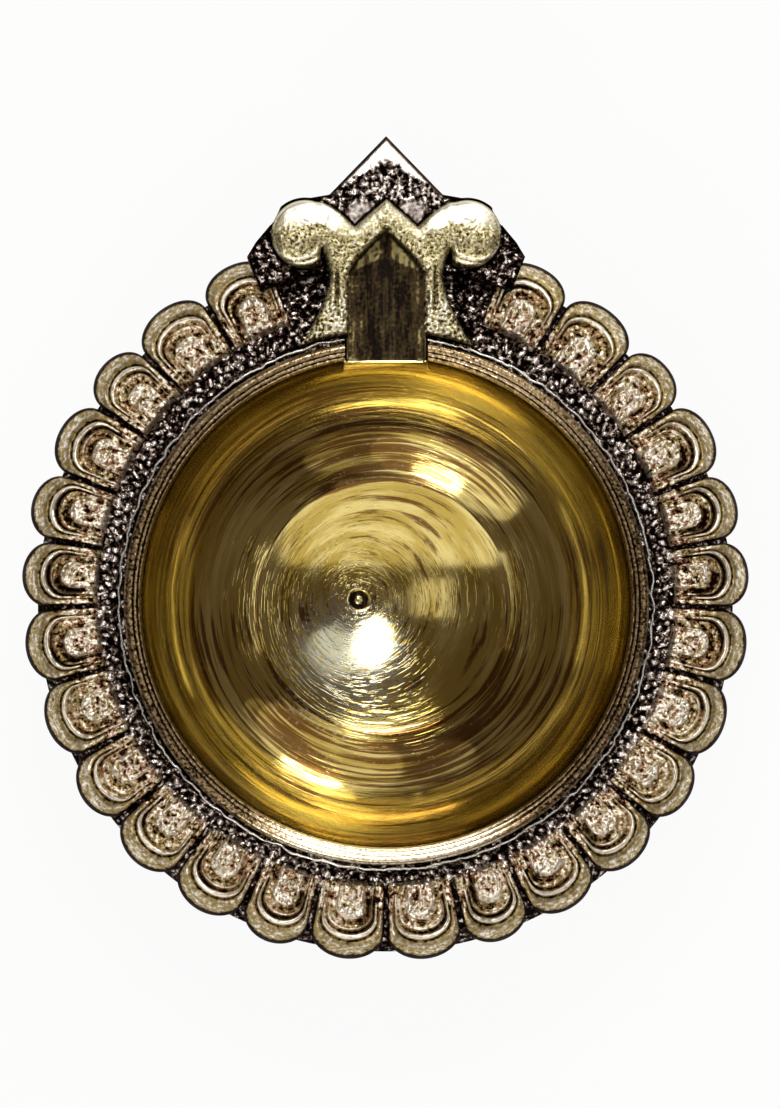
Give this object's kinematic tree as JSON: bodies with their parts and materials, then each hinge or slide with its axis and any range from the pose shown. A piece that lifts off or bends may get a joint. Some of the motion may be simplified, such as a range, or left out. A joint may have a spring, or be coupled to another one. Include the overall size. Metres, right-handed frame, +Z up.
{
  "type": "diya oil lamp",
  "caption": "Small brass oil lamp: a turned cup in a cast ring of lotus petals, with a wick channel that runs out through the lip to a pointed leaf, on a turned foot.",
  "frame": {"origin": "centre of the foot's flat base, on the axis of the cup", "axes": "+Z up out of the cup, +Y from the cup's axis towards the tip of the wick spout, +X to the right with the spout pointing away"},
  "size_m": [0.0992, 0.1117, 0.0316],
  "materials": {
    "polished_brass": "polished, with fine turning marks",
    "antique_brass": "cast, dark in the recesses and worn bright on the high spots",
    "tin_solder": "bright tin solder",
    "pale_brass": "cast, pale and grainy",
    "turned_brass": "turned"
  },
  "bodies": {
    "root": {"oil_cup": "polished_brass", "petal_collar": "antique_brass", "solder_bead": "tin_solder", "wick_spout": "pale_brass", "spout_leaf": "antique_brass", "turned_foot": "turned_brass"}
  },
  "joints": []
}
